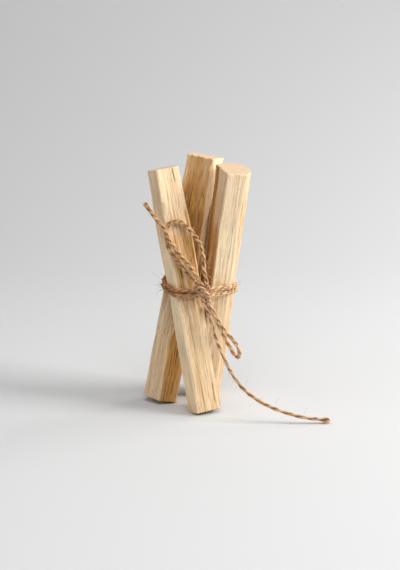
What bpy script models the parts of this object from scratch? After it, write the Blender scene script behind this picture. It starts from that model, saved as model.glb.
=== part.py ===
"""Three hand-split sticks of palo santo wood, tied at the waist with jute twine.

The sticks stand splayed, each on a worn corner of its sawn foot. Blender's unit is the metre and
+Z is up. The front of the bundle faces -Y. The origin lies on the surface that the bundle stands
on, under the middle of the three sticks.
"""
import math

import bmesh
import bpy
from mathutils import Matrix, Vector

# Sizes and places below are in millimetres.
MM = 0.001

# Each stick is a prism of changing section between the middle of its foot and of its head. A section
# lists the arrises as (right, deep) across the stick, anticlockwise as seen from the head, and
# SECTION_PLACES gives each section's share of the way from the foot to the head.
SECTION_PLACES = (0.0, 0.25, 0.5, 0.75, 1.0)
STICKS = {
    "stick_front": {
        "foot": (3.4, -11.4, 0.8),
        "head": (-13.3, 2.2, 96.6),
        "sections": (
            ((-2.7, -6.2), (6.4, -2.2), (6.2, 3.6), (1.4, 6.0), (-6.4, -0.2)),
            ((-2.7, -6.0), (6.3, -2.4), (5.6, 4.0), (0.6, 5.6), (-6.4, 0.2)),
            ((-2.8, -5.6), (7.0, -2.6), (6.0, 4.2), (0.2, 5.0), (-6.1, 0.4)),
            ((-2.5, -5.6), (7.3, -2.4), (6.2, 4.2), (0.4, 5.2), (-6.6, 0.4)),
            ((-2.2, -5.8), (6.2, -1.6), (5.6, 4.2), (0.4, 5.8), (-6.0, 0.4)),
        ),
    },
    "stick_back": {
        "foot": (-14.5, 2.2, 1.2),
        "head": (4.0, 11.1, 99.6),
        "sections": (
            ((-0.6, -6.4), (6.3, -4.2), (6.0, 4.8), (-3.4, 6.0), (-7.2, -1.0)),
            ((-1.4, -5.9), (6.6, -3.2), (6.2, 5.4), (-4.2, 5.6), (-7.0, -2.2)),
            ((5.0, -4.9), (6.8, -3.9), (8.6, 5.6), (-5.2, 5.2), (-7.0, -3.4)),
            ((3.5, -5.6), (4.7, -3.1), (7.6, 5.5), (-6.0, 5.0), (-7.3, -4.2)),
            ((2.7, -6.2), (7.2, 4.0), (6.4, 5.2), (-6.2, 5.0), (-7.4, -4.6)),
        ),
    },
    "stick_right": {
        "foot": (3.7, 12.2, 0.85),
        "head": (14.9, -0.6, 97.0),
        "sections": (
            ((-3.1, -6.2), (3.8, -6.0), (6.0, -2.6), (2.6, 5.4), (-3.8, 4.8), (-5.9, 1.6)),
            ((-3.5, -6.6), (3.4, -5.6), (6.3, -1.8), (2.6, 5.6), (-3.8, 4.9), (-6.6, 1.8)),
            ((-3.1, -6.8), (3.8, -5.3), (6.2, -1.4), (2.4, 5.8), (-3.6, 5.0), (-6.5, 1.9)),
            ((-3.1, -6.9), (4.3, -5.1), (6.5, -1.2), (2.4, 6.2), (-3.7, 5.2), (-7.0, 2.3)),
            ((-2.4, -7.0), (5.1, -5.1), (6.7, -1.0), (2.4, 6.4), (-3.8, 5.5), (-7.2, 2.6)),
        ),
    },
}
ARRIS_WEAR = 0.35
# An edge whose faces turn by more than this is an arris, and is worn.
ARRIS_ANGLE = math.radians(30)

# The twine runs in two turns around the waist. A turn's strand lies at TURN_HEIGHTS over the origin
# and falls by TURN_SLOPE for each millimetre to the right. It keeps TWINE_GAP off the wood.
TWINE_RADIUS = 0.95
TWINE_GAP = 0.3
TURN_HEIGHTS = (49.7, 47.4)
TURN_SLOPE = -0.085
TURN_SPACING = 1.6
# The turns begin and end behind the knot, and one passes into the other there, between these places.
UNDER_KNOT_LEFT = 0.2
UNDER_KNOT_RIGHT = 5.2

# The knot and the free cords follow smooth curves through these points.
KNOT_RADIUS = 1.0
KNOT_SPACING = 1.2
KNOT_ROUTE = (
    (-0.9, -10.7, 50.2), (-0.3, -11.6, 51.6), (1.0, -12.4, 52.2), (2.4, -12.8, 51.6), (3.6, -12.9, 50.4),
    (4.6, -12.6, 48.9), (5.1, -11.9, 47.4), (4.6, -11.1, 46.5), (3.4, -10.5, 46.6), (2.2, -10.4, 47.6),
)
FREE_CORDS = {
    "twine_loop_upper": {
        "radius": 0.85,
        "spacing": 3.1,
        "end_swell": 1.0,
        "route": (
            (4.2, -11.4, 52.9), (3.2, -9.8, 58.0), (2.9, -8.3, 61.3), (2.5, -7.2, 64.6),
            (1.3, -6.3, 68.2), (-0.8, -5.7, 71.6), (-3.6, -5.5, 74.8), (-6.3, -5.6, 76.9),
            (-8.6, -6.3, 77.3), (-10.6, -7.1, 76.2), (-11.7, -7.8, 73.5), (-11.6, -8.4, 70.2),
            (-10.6, -8.8, 66.6), (-8.4, -8.9, 62.9), (-5.2, -8.9, 59.0), (-2.2, -9.3, 55.5), (-0.9, -9.8, 54.0),
        ),
    },
    "twine_loop_lower": {
        "radius": 0.85,
        "spacing": 2.8,
        "end_swell": 1.0,
        "route": (
            (4.9, -12.3, 45.9), (5.7, -12.5, 44.0), (8.4, -12.8, 39.2), (11.3, -12.6, 34.4),
            (14.4, -11.7, 30.4), (16.0, -11.1, 27.9), (17.1, -10.3, 25.3), (17.2, -9.2, 23.0),
            (16.3, -8.0, 21.9), (14.9, -7.3, 23.1), (13.6, -7.0, 25.6), (10.9, -7.4, 30.8),
            (8.4, -8.3, 36.6), (5.9, -9.1, 41.7), (4.9, -9.5, 44.1),
        ),
    },
    "twine_tail_upper": {
        "radius": 0.85,
        "spacing": 4.2,
        "end_swell": 1.35,
        "route": (
            (1.3, -12.2, 54.6), (-2.6, -10.2, 60.1), (-7.1, -9.5, 65.3), (-10.4, -9.9, 70.2),
            (-12.4, -9.7, 75.0), (-15.9, -9.3, 79.4), (-20.1, -9.1, 85.3),
        ),
    },
    "twine_tail_lower": {
        "radius": 0.7,
        "spacing": 3.6,
        "end_swell": 1.6,
        "route": (
            (2.9, -12.1, 45.9), (4.7, -12.8, 41.9), (6.6, -13.9, 36.1), (8.3, -15.3, 30.6),
            (10.6, -17.2, 25.3), (13.6, -19.6, 19.6), (18.2, -22.1, 13.7), (24.0, -24.2, 9.5),
            (29.8, -25.4, 6.7), (36.7, -25.9, 4.3), (43.0, -25.9, 2.7), (52.6, -25.3, 1.3),
        ),
    },
}

# Colours are linear red, green and blue.
MATERIALS = {
    "wood_front": ((0.60, 0.45, 0.27), 0.75),
    "wood_back": ((0.42, 0.27, 0.12), 0.75),
    "wood_right": ((0.58, 0.43, 0.26), 0.75),
    "jute": ((0.38, 0.23, 0.12), 0.95),
}
STICK_MATERIALS = {"stick_front": "wood_front", "stick_back": "wood_back", "stick_right": "wood_right"}


def clear_scene():
    """Remove every object that the file opened with."""
    for thing in list(bpy.data.objects):
        bpy.data.objects.remove(thing, do_unlink=True)


def make_material(name):
    """Make one Principled material from its row in MATERIALS."""
    colour, roughness = MATERIALS[name]
    material = bpy.data.materials.new(name)
    material.use_nodes = True
    shader = material.node_tree.nodes["Principled BSDF"]
    shader.inputs["Base Color"].default_value = (*colour, 1.0)
    shader.inputs["Roughness"].default_value = roughness
    shader.inputs["Metallic"].default_value = 0.0
    return material


def stick_frame(stick):
    """Return the placing of a stick: X to the right, Y deep, Z from its foot to its head, in mm."""
    foot = Vector(stick["foot"])
    along = (Vector(stick["head"]) - foot).normalized()
    right = Vector((0.0, 1.0, 0.0)).cross(along).normalized()
    deep = along.cross(right)
    rotation = Matrix((right, deep, along)).transposed()
    return Matrix.Translation(foot) @ rotation.to_4x4()


def stick_rings(stick):
    """Return the sections of a stick as rings of points in its own frame, in mm."""
    length = (Vector(stick["head"]) - Vector(stick["foot"])).length
    rings = []
    for place, section in zip(SECTION_PLACES, stick["sections"]):
        rings.append([Vector((right, deep, place * length)) for right, deep in section])
    return rings


def cut_to_surface(mesh, placing):
    """Cut the worn toe of the foot off level with the surface that the stick stands on."""
    inverse = placing.inverted()
    level = inverse @ Vector((0.0, 0.0, 0.0))
    down = inverse.to_3x3() @ Vector((0.0, 0.0, -1.0))
    everything = mesh.verts[:] + mesh.edges[:] + mesh.faces[:]
    cut = bmesh.ops.bisect_plane(mesh, geom=everything, plane_co=level, plane_no=down, clear_outer=True)
    rim = [piece for piece in cut["geom_cut"] if isinstance(piece, bmesh.types.BMEdge)]
    bmesh.ops.contextual_create(mesh, geom=rim)


def make_stick(name, stick, material):
    """Build one split stick: side faces between its sections, sawn ends and a worn toe."""
    placing = stick_frame(stick)
    mesh = bmesh.new()
    rings = [[mesh.verts.new(point) for point in ring] for ring in stick_rings(stick)]
    count = len(rings[0])
    for low, high in zip(rings, rings[1:]):
        for index in range(count):
            following = (index + 1) % count
            mesh.faces.new((low[index], low[following], high[following], high[index]))
    mesh.faces.new(list(reversed(rings[0])))
    mesh.faces.new(rings[-1])
    cut_to_surface(mesh, placing)
    bmesh.ops.scale(mesh, vec=(MM, MM, MM), verts=mesh.verts)
    data = bpy.data.meshes.new(name)
    mesh.to_mesh(data)
    mesh.free()
    data.materials.append(material)

    thing = bpy.data.objects.new(name, data)
    thing.location = placing.to_translation() * MM
    thing.rotation_euler = placing.to_euler()
    bpy.context.collection.objects.link(thing)
    wear = thing.modifiers.new("worn arrises", "BEVEL")
    wear.width = ARRIS_WEAR * MM
    wear.segments = 2
    wear.limit_method = "ANGLE"
    wear.angle_limit = ARRIS_ANGLE
    return thing


def smooth_route(points, spacing):
    """Return evenly spaced points on a smooth curve through the given ones (Catmull-Rom)."""
    points = [Vector(point) for point in points]
    ends = [2 * points[0] - points[1], *points, 2 * points[-1] - points[-2]]
    fine = [points[0]]
    for before, start, finish, after in zip(ends, ends[1:], ends[2:], ends[3:]):
        for step in range(1, 17):
            t = step / 16
            fine.append(0.5 * (2 * start + (finish - before) * t
                               + (2 * before - 5 * start + 4 * finish - after) * t * t
                               + (3 * start - before - 3 * finish + after) * t ** 3))
    lengths = [0.0]
    for start, finish in zip(fine, fine[1:]):
        lengths.append(lengths[-1] + (finish - start).length)
    count = max(2, round(lengths[-1] / spacing))
    route = []
    index = 0
    for number in range(count + 1):
        wanted = lengths[-1] * number / count
        while index < len(fine) - 2 and lengths[index + 1] < wanted:
            index += 1
        share = (wanted - lengths[index]) / (lengths[index + 1] - lengths[index])
        route.append(fine[index].lerp(fine[index + 1], share))
    return route


def make_twine(name, route, radius, material, end_swell=1.0):
    """Lay a round strand of twine along a route, with its last two points swollen to a knotted end."""
    curve = bpy.data.curves.new(name, "CURVE")
    curve.dimensions = "3D"
    curve.bevel_depth = radius * MM
    curve.bevel_resolution = 2
    curve.use_fill_caps = True
    spline = curve.splines.new("POLY")
    spline.points.add(len(route) - 1)
    for point, place in zip(spline.points, route):
        point.co = (*(place * MM), 1.0)
    for point in spline.points[-2:]:
        point.radius = end_swell
    spline.use_smooth = True
    curve.materials.append(material)
    thing = bpy.data.objects.new(name, curve)
    bpy.context.collection.objects.link(thing)
    return thing


def arris_at_turn(line, height):
    """Return the place where an arris passes through the sloping plane of a turn of twine."""
    above = [point.z - height - TURN_SLOPE * point.x for point in line]
    for start, finish, low, high in zip(line, line[1:], above, above[1:]):
        if low <= 0.0 < high:
            return start.lerp(finish, -low / (high - low)).to_2d()
    raise ValueError("an arris does not reach the twine")


def outer_outline(places):
    """Return the corners of the tight string around the places, anticlockwise from above."""
    ordered = sorted(places, key=lambda place: (place.x, place.y))
    halves = []
    for run in (ordered, ordered[::-1]):
        half = []
        for place in run:
            while len(half) > 1 and (half[-1] - half[-2]).cross(place - half[-1]) <= 0.0:
                half.pop()
            half.append(place)
        halves += half[:-1]
    return halves


def strand_around(corners, reach):
    """Return the middle of a strand pulled around the corners, at the given reach from them."""
    strand = []
    for before, corner, after in zip(corners[-1:] + corners, corners, corners[1:] + corners[:1]):
        first = (corner - before).to_3d().cross(Vector((0, 0, 1))).to_2d().normalized()
        last = (after - corner).to_3d().cross(Vector((0, 0, 1))).to_2d().normalized()
        turn = first.angle(last)
        steps = max(1, math.ceil(turn / math.radians(25)))
        for step in range(steps + 1):
            strand.append(corner + first.slerp(last, step / steps) * reach)
    filled = []
    for start, finish in zip(strand, strand[1:] + strand[:1]):
        pieces = max(1, round((finish - start).length / (2 * TURN_SPACING)))
        filled += [start.lerp(finish, piece / pieces) for piece in range(pieces)]
    return filled


def turn_of_twine(sticks, height):
    """Return one turn from the knot's right, around the back, to the knot's left, and the rest."""
    places = []
    for stick in sticks:
        placing = stick_frame(stick)
        for line in zip(*stick_rings(stick)):
            places.append(arris_at_turn([placing @ point for point in line], height))
    strand = strand_around(outer_outline(places), TWINE_RADIUS + TWINE_GAP)

    def away_from(side):
        return lambda index: abs(strand[index].x - side) if strand[index].y < 0.0 else math.inf

    start = min(range(len(strand)), key=away_from(UNDER_KNOT_RIGHT))
    strand = strand[start:] + strand[:start]
    end = min(range(len(strand)), key=away_from(UNDER_KNOT_LEFT))
    return strand[:end + 1], strand[end + 1:]


def wrap_route():
    """Return the middle of the twine's two turns around the three sticks."""
    sticks = list(STICKS.values())
    upper, lower = TURN_HEIGHTS
    route = []
    for height in TURN_HEIGHTS:
        around, under = turn_of_twine(sticks, height)
        route += [place.to_3d() + Vector((0, 0, height + TURN_SLOPE * place.x)) for place in around]
        if height == upper:
            for index, place in enumerate(under):
                blend = upper + (lower - upper) * (index + 1) / (len(under) + 1)
                route.append(place.to_3d() + Vector((0, 0, blend + TURN_SLOPE * place.x)))
    return route


def build():
    """Build the three sticks and the twine."""
    clear_scene()
    materials = {name: make_material(name) for name in MATERIALS}
    for name, stick in STICKS.items():
        make_stick(name, stick, materials[STICK_MATERIALS[name]])
    jute = materials["jute"]
    make_twine("twine_wrap", wrap_route(), TWINE_RADIUS, jute)
    make_twine("twine_knot", smooth_route(KNOT_ROUTE, KNOT_SPACING), KNOT_RADIUS, jute)
    for name, cord in FREE_CORDS.items():
        route = smooth_route(cord["route"], cord["spacing"])
        make_twine(name, route, cord["radius"], jute, cord["end_swell"])


build()
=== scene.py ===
"""Three hand-split sticks of palo santo wood, tied at the waist with jute twine."""

import itertools
import math

import bmesh
import bpy
import numpy as np
from mathutils import Matrix, Vector


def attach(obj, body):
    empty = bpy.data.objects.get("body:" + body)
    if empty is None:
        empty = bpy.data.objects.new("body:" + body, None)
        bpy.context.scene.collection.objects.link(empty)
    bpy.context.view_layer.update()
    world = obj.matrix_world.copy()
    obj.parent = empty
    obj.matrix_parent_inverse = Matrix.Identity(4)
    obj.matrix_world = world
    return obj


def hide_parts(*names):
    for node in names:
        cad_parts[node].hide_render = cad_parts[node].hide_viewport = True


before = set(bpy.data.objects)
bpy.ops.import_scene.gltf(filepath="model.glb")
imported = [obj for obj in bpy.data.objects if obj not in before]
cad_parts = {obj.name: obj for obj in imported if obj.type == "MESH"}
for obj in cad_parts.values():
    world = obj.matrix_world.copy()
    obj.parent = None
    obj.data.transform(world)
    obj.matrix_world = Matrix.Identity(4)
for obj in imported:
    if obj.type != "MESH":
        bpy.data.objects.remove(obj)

bl_info = {
    "name": "Tied palo santo sticks",
    "version": (1, 0, 0),
    "blender": (4, 5, 0),
    "location": "3D View > Sidebar > Palo santo",
    "description": "Builds three split sticks of wood, their jute twine and a plain studio around them",
    "category": "Object",
}

# Places and sizes in the tables below are in millimetres. Node trees get metres.
MM = 0.001
PER_METRE = 1000.0
# The middle of a noise's colour.
HALF = (0.5, 0.5, 0.5)

# Each stick is a prism of changing section between the middle of its foot and of its head. A section
# lists the arrises as (right, deep) across the stick, anticlockwise as seen from the head.
SECTION_PLACES = (0.0, 0.25, 0.5, 0.75, 1.0)
STICKS = {
    "stick_front": {
        "foot": (3.4, -11.4, 0.8),
        "head": (-13.3, 2.2, 96.6),
        "sections": (
            ((-2.7, -6.2), (6.4, -2.2), (6.2, 3.6), (1.4, 6.0), (-6.4, -0.2)),
            ((-2.7, -6.0), (6.3, -2.4), (5.6, 4.0), (0.6, 5.6), (-6.4, 0.2)),
            ((-2.8, -5.6), (7.0, -2.6), (6.0, 4.2), (0.2, 5.0), (-6.1, 0.4)),
            ((-2.5, -5.6), (7.3, -2.4), (6.2, 4.2), (0.4, 5.2), (-6.6, 0.4)),
            ((-2.2, -5.8), (6.2, -1.6), (5.6, 4.2), (0.4, 5.8), (-6.0, 0.4)),
        ),
    },
    "stick_back": {
        "foot": (-14.5, 2.2, 1.2),
        "head": (4.0, 11.1, 99.6),
        "sections": (
            ((-0.6, -6.4), (6.3, -4.2), (6.0, 4.8), (-3.4, 6.0), (-7.2, -1.0)),
            ((-1.4, -5.9), (6.6, -3.2), (6.2, 5.4), (-4.2, 5.6), (-7.0, -2.2)),
            ((5.0, -4.9), (6.8, -3.9), (8.6, 5.6), (-5.2, 5.2), (-7.0, -3.4)),
            ((3.5, -5.6), (4.7, -3.1), (7.6, 5.5), (-6.0, 5.0), (-7.3, -4.2)),
            ((2.7, -6.2), (7.2, 4.0), (6.4, 5.2), (-6.2, 5.0), (-7.4, -4.6)),
        ),
    },
    "stick_right": {
        "foot": (3.7, 12.2, 0.85),
        "head": (14.9, -0.6, 97.0),
        "sections": (
            ((-3.1, -6.2), (3.8, -6.0), (6.0, -2.6), (2.6, 5.4), (-3.8, 4.8), (-5.9, 1.6)),
            ((-3.5, -6.6), (3.4, -5.6), (6.3, -1.8), (2.6, 5.6), (-3.8, 4.9), (-6.6, 1.8)),
            ((-3.1, -6.8), (3.8, -5.3), (6.2, -1.4), (2.4, 5.8), (-3.6, 5.0), (-6.5, 1.9)),
            ((-3.1, -6.9), (4.3, -5.1), (6.5, -1.2), (2.4, 6.2), (-3.7, 5.2), (-7.0, 2.3)),
            ((-2.4, -7.0), (5.1, -5.1), (6.7, -1.0), (2.4, 6.4), (-3.8, 5.5), (-7.2, 2.6)),
        ),
    },
}

# Marks of splitting on each stick. A crack lies on one side face: the side's number, how far across it
# from 0 to 1, the heights over the foot where it starts and ends, its width and its depth. A chip is a
# sliver torn off one arris: the arris's number, the heights where it starts and ends, and its width. A
# stain is heartwood, and some stains are painted shade: the side, from and to across it, the heights where
# it starts and ends, its strength; from a strength of about 1 up it is also painted dark as shade.
# Weathered places and pale patches of painted light are given the same way. A side that grew under the
# bark swells by so much at the head, and a side with a ragged upper edge has fibres that stand up by about
# so much.
MARKS = {
    "stick_front": {
        "cracks": (
            (0, 0.76, 91.5, 101.0, 0.28, 0.9), (0, 0.28, 84.5, 92.0, 0.15, 0.3),
            (0, 0.56, 70.0, 82.0, 0.15, 0.25), (0, 0.86, 2.0, 13.0, 0.2, 0.5),
            (0, 0.93, 60.0, 84.0, 0.15, 0.25), (0, 0.34, 24.0, 47.0, 0.15, 0.25),
            (0, 0.63, 8.0, 31.0, 0.15, 0.3), (0, 0.12, 74.0, 84.0, 0.15, 0.35),
            (4, 0.45, 30.0, 44.0, 0.2, 0.3), (2, 0.5, 40.0, 70.0, 0.3, 0.6),
        ),
        "chips": ((0, 77.0, 86.0, 1.1), (0, 40.0, 52.0, 0.7), (1, 12.0, 20.0, 0.8), (3, 60.0, 74.0, 1.3)),
        # Painted shade: the first stain is the shadow of the upper loop and tail on the front face, the third
        # darkens the front face along the right arris beside the gap to the right stick, the fourth is the
        # shade under the knot, and the fifth, on the right face, is partly heartwood and partly painted
        # shade.
        "stain": (
            (0, 0.1, 1.15, 44.0, 74.0, 0.6), (0, 0.3, 1.0, 0.0, 34.0, 0.25), (0, 0.9, 1.15, 50.0, 80.0, 1.0),
            (0, 0.6, 1.1, 39.0, 50.0, 0.6), (1, 0.0, 1.0, -8.0, 94.0, 0.85), (2, 0.0, 1.0, 0.0, 60.0, 0.5),
            (3, 0.0, 0.6, 30.0, 98.0, 0.35),
        ),
        "weather": ((4, 0.1, 0.9, 21.0, 31.0, 0.5), (4, 0.3, 1.0, 80.0, 98.0, 0.2)),
        # Painted light: pale patches that brighten the left face, which lies in shade, and the top and the
        # foot of the front face.
        "clean": (
            (4, 0.0, 1.0, 2.0, 72.0, 0.8), (0, 0.0, 1.0, 84.0, 106.0, 0.4), (0, 0.0, 1.0, -8.0, 34.0, 0.3),
        ),
        "swelling": {},
        "ragged": {0: 0.3, 4: 0.2},
    },
    "stick_back": {
        "cracks": (
            (4, 0.30, 74.0, 96.0, 0.17, 0.35), (4, 0.62, 60.0, 86.0, 0.2, 0.4),
            (4, 0.80, 66.0, 92.0, 0.15, 0.3), (0, 0.40, 0.0, 24.0, 0.2, 0.5), (0, 0.70, 8.0, 38.0, 0.2, 0.4),
            (4, 0.5, 6.0, 40.0, 0.17, 0.25), (2, 0.4, 20.0, 62.0, 0.3, 0.6),
        ),
        "chips": ((0, 92.0, 99.0, 0.9), (4, 88.0, 97.0, 0.8), (2, 30.0, 47.0, 1.4)),
        # Painted shade: the stains of strength over 1 darken places between the sticks: the front face beside
        # the front stick, partly heartwood, the hollow behind the gap between the front and the right stick,
        # and the side in the shadow of the right stick.
        "stain": (
            (4, 0.0, 1.0, 52.0, 108.0, 0.8), (4, 0.4, 1.0, 40.0, 84.0, 1.15), (4, 0.82, 1.0, 30.0, 44.0, 1.1),
            (0, 0.0, 1.0, -8.0, 52.0, 0.85), (0, 0.0, 1.0, 42.0, 61.0, 1.3), (0, 0.0, 1.0, 58.0, 78.0, 0.35),
            (1, 0.0, 1.0, 0.0, 100.0, 1.3), (2, 0.0, 0.4, 0.0, 80.0, 0.8), (3, 0.4, 1.0, 50.0, 108.0, 0.7),
        ),
        "weather": ((4, 0.0, 1.0, 91.0, 108.0, 0.5), (4, 0.0, 1.0, 0.0, 40.0, 0.25)),
        # Painted light: a pale patch on the narrow right face, which the right stick shades from the key
        # light.
        "clean": ((0, 0.0, 1.0, 66.0, 104.0, 1.0),),
        "swelling": {2: 0.4, 3: 0.5},
        "ragged": {4: 0.55, 0: 0.4, 1: 0.3},
    },
    "stick_right": {
        "cracks": (
            (0, 0.42, 22.0, 46.0, 0.17, 0.35), (0, 0.75, 60.0, 84.0, 0.15, 0.2),
            (1, 0.50, 30.0, 70.0, 0.15, 0.25), (3, 0.45, 50.0, 85.0, 0.3, 0.6),
        ),
        "chips": ((1, 70.0, 80.0, 0.7), (4, 26.0, 42.0, 1.4)),
        # Painted shade: the first stain is a dark band along the left-back arris, in the crevice between the
        # sticks.
        "stain": (
            (5, 0.0, 0.26, -8.0, 108.0, 1.25), (5, 0.2, 1.0, 30.0, 76.0, 0.62),
            (5, 0.25, 1.0, 70.0, 98.0, 0.2), (4, 0.0, 1.0, 0.0, 100.0, 0.9),
            (3, 0.6, 1.0, 10.0, 90.0, 0.5), (1, 0.0, 1.0, 8.0, 108.0, 0.3),
        ),
        "weather": ((5, 0.3, 1.0, 76.0, 108.0, 0.25),),
        # Painted light: pale patches that brighten the front face.
        "clean": ((0, 0.0, 1.0, -8.0, 76.0, 0.8), (0, 0.0, 1.0, 70.0, 106.0, 0.35)),
        "swelling": {2: 0.9, 3: 0.8},
        "ragged": {0: 0.35, 1: 0.4, 5: 0.4},
    },
}

# The twine runs in two turns around the waist. A turn's strand lies at TURN_HEIGHTS over the origin
# and falls by TURN_SLOPE for each millimetre to the right.
TURN_HEIGHTS = (49.7, 47.4)
TURN_SLOPE = -0.085
# The turns begin and end behind the knot, and one passes into the other there, between these places.
UNDER_KNOT_LEFT = 0.2
UNDER_KNOT_RIGHT = 5.2

# The knot's strands, each through the points of its own route.
KNOT_ROUTES = (
    (
        (-0.9, -10.7, 50.2), (-0.3, -11.6, 51.6), (1.0, -12.4, 52.2), (2.4, -12.8, 51.6), (3.6, -12.9, 50.4),
        (4.6, -12.6, 48.9), (5.1, -11.9, 47.4), (4.6, -11.1, 46.5), (3.4, -10.5, 46.6), (2.2, -10.4, 47.6),
    ),
    ((-0.2, -10.6, 53.6), (0.7, -10.8, 51.8), (1.3, -11.1, 49.8), (2.0, -11.7, 47.8), (2.9, -12.1, 45.9)),
    ((4.2, -11.4, 52.9), (4.6, -11.0, 51.2), (4.3, -10.7, 49.4), (4.4, -11.2, 47.6), (4.9, -12.3, 45.9)),
    ((1.3, -12.2, 54.6), (2.0, -12.1, 53.2), (2.7, -11.6, 51.6), (3.3, -11.2, 50.0), (3.7, -10.9, 48.6)),
)

# The free cords of the bow: the route, the radius, how much the knotted end swells, how light it is and
# how far its twist is slackened.
FREE_CORDS = {
    "twine_loop_upper": {
        "radius": 0.85, "end_swell": 1.0, "tone": -0.4, "slack": 1.0,
        "far_end": "object", "lay": "loose",
        "route": (
            (4.2, -11.4, 52.9), (3.2, -9.8, 58.0), (2.9, -8.3, 61.3), (2.5, -7.2, 64.6),
            (1.3, -6.3, 68.2), (-0.8, -5.7, 71.6), (-3.6, -5.5, 74.8), (-6.3, -5.6, 76.9),
            (-8.6, -6.3, 77.3), (-10.6, -7.1, 76.2), (-11.7, -7.8, 73.5), (-11.6, -8.4, 70.2),
            (-10.6, -8.8, 66.6), (-8.4, -8.9, 62.9), (-5.2, -8.9, 59.0), (-2.2, -9.3, 55.5),
            (-0.9, -9.8, 54.0),
        ),
    },
    "twine_loop_lower": {
        "radius": 0.85, "end_swell": 1.0, "tone": 0.3, "slack": 1.4,
        "far_end": "object", "lay": "hanging",
        "route": (
            (4.9, -12.3, 45.9), (5.7, -12.5, 44.0), (8.4, -12.8, 39.2), (11.3, -12.6, 34.4),
            (14.4, -11.7, 30.4), (16.0, -11.1, 27.9), (17.1, -10.3, 25.3), (17.2, -9.2, 23.0),
            (16.3, -8.0, 21.9), (14.9, -7.3, 23.1), (13.6, -7.0, 25.6), (10.9, -7.4, 30.8),
            (8.4, -8.3, 36.6), (5.9, -9.1, 41.7), (4.9, -9.5, 44.1),
        ),
    },
    "twine_tail_upper": {
        "radius": 0.85, "end_swell": 1.4, "tone": -0.3, "slack": 1.0,
        "far_end": "knot", "lay": "loose",
        "route": (
            (1.3, -12.2, 54.6), (-2.6, -10.2, 60.1), (-7.1, -9.5, 65.3), (-10.4, -9.9, 70.2),
            (-12.4, -9.7, 75.0), (-15.9, -9.3, 79.4), (-20.1, -9.1, 85.3),
        ),
    },
    "twine_tail_lower": {
        "radius": 0.7, "end_swell": 1.6, "tone": -0.45, "slack": 1.6,
        "far_end": "knot", "lay": "hanging",
        "route": (
            (2.9, -12.1, 45.9), (4.7, -12.8, 41.9), (6.6, -13.9, 36.1), (8.3, -15.3, 30.6),
            (10.6, -17.2, 25.3), (13.6, -19.6, 19.6), (18.2, -22.1, 13.7), (24.0, -24.2, 9.5),
            (29.8, -25.4, 6.7), (36.7, -25.9, 4.3), (43.0, -25.9, 2.7), (52.6, -25.3, 1.3),
        ),
    },
}

# Single long fibres that stray from the twine, each through the points of its own route.
STRAY_ROUTES = (
    ((1.5, -6.6, 68.5), (2.9, -7.6, 69.0), (4.2, -8.2, 68.3)),
    ((3.5, -8.6, 60.9), (5.2, -9.6, 63.0), (6.9, -10.2, 65.8)),
    ((3.1, -8.2, 62.4), (4.0, -9.4, 61.9), (4.4, -9.6, 60.6)),
    ((3.7, -9.8, 56.5), (5.2, -10.8, 56.1), (6.4, -11.0, 54.7)),
    ((2.9, -9.4, 57.9), (4.6, -10.4, 59.6), (5.8, -10.9, 59.3)),
    ((1.7, -13.2, 41.5), (3.1, -14.0, 43.0), (4.2, -14.4, 43.8)),
    ((-13.1, -6.0, 53.0), (-15.5, -7.0, 55.0), (-17.6, -7.4, 57.1)),
    ((-13.3, -6.0, 51.6), (-15.3, -7.2, 51.3), (-17.2, -7.8, 52.1)),
    ((-12.7, -6.4, 49.9), (-14.9, -7.4, 48.9), (-16.1, -7.8, 47.2)),
    ((15.9, -1.0, 48.9), (17.2, -1.6, 50.3), (18.0, -1.8, 52.3)),
    ((19.3, -25.2, 15.8), (19.7, -25.6, 18.0), (20.8, -25.8, 18.9)),
    ((30.9, -26.0, 8.2), (31.8, -26.2, 10.4), (33.2, -26.4, 11.1)),
    ((25.4, -25.6, 11.0), (26.1, -26.6, 9.7), (27.3, -27.0, 8.9)),
    ((42.3, -26.4, 4.6), (43.0, -26.6, 6.6), (44.4, -26.8, 7.2)),
    ((-2.2, -12.0, 49.4), (-4.0, -12.8, 48.0), (-4.6, -13.0, 46.2)),
    ((-0.1, -12.6, 52.7), (-1.6, -13.4, 54.5), (-1.8, -13.6, 56.4)),
    ((10.6, -15.0, 33.7), (12.3, -15.8, 34.8), (13.3, -16.2, 36.8)),
    ((-9.9, -9.8, 64.1), (-11.6, -10.8, 63.4), (-12.8, -11.0, 61.6)),
)


# Settings that a user may change.


def size_setting(name, description, default):
    """Return a property for a size in metres."""
    return bpy.props.FloatProperty(
        name=name, description=description, default=default, min=0.0, subtype="DISTANCE", unit="LENGTH",
        precision=5,
    )


def colour_setting(name, description, default):
    """Return a property for a linear colour."""
    return bpy.props.FloatVectorProperty(
        name=name, description=description, default=default, size=3, min=0.0, max=1.0, subtype="COLOR",
    )


def power_setting(name, description, default):
    """Return a property for the power of a light."""
    return bpy.props.FloatProperty(name=name, description=description, default=default, min=0.0, unit="POWER")


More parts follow.
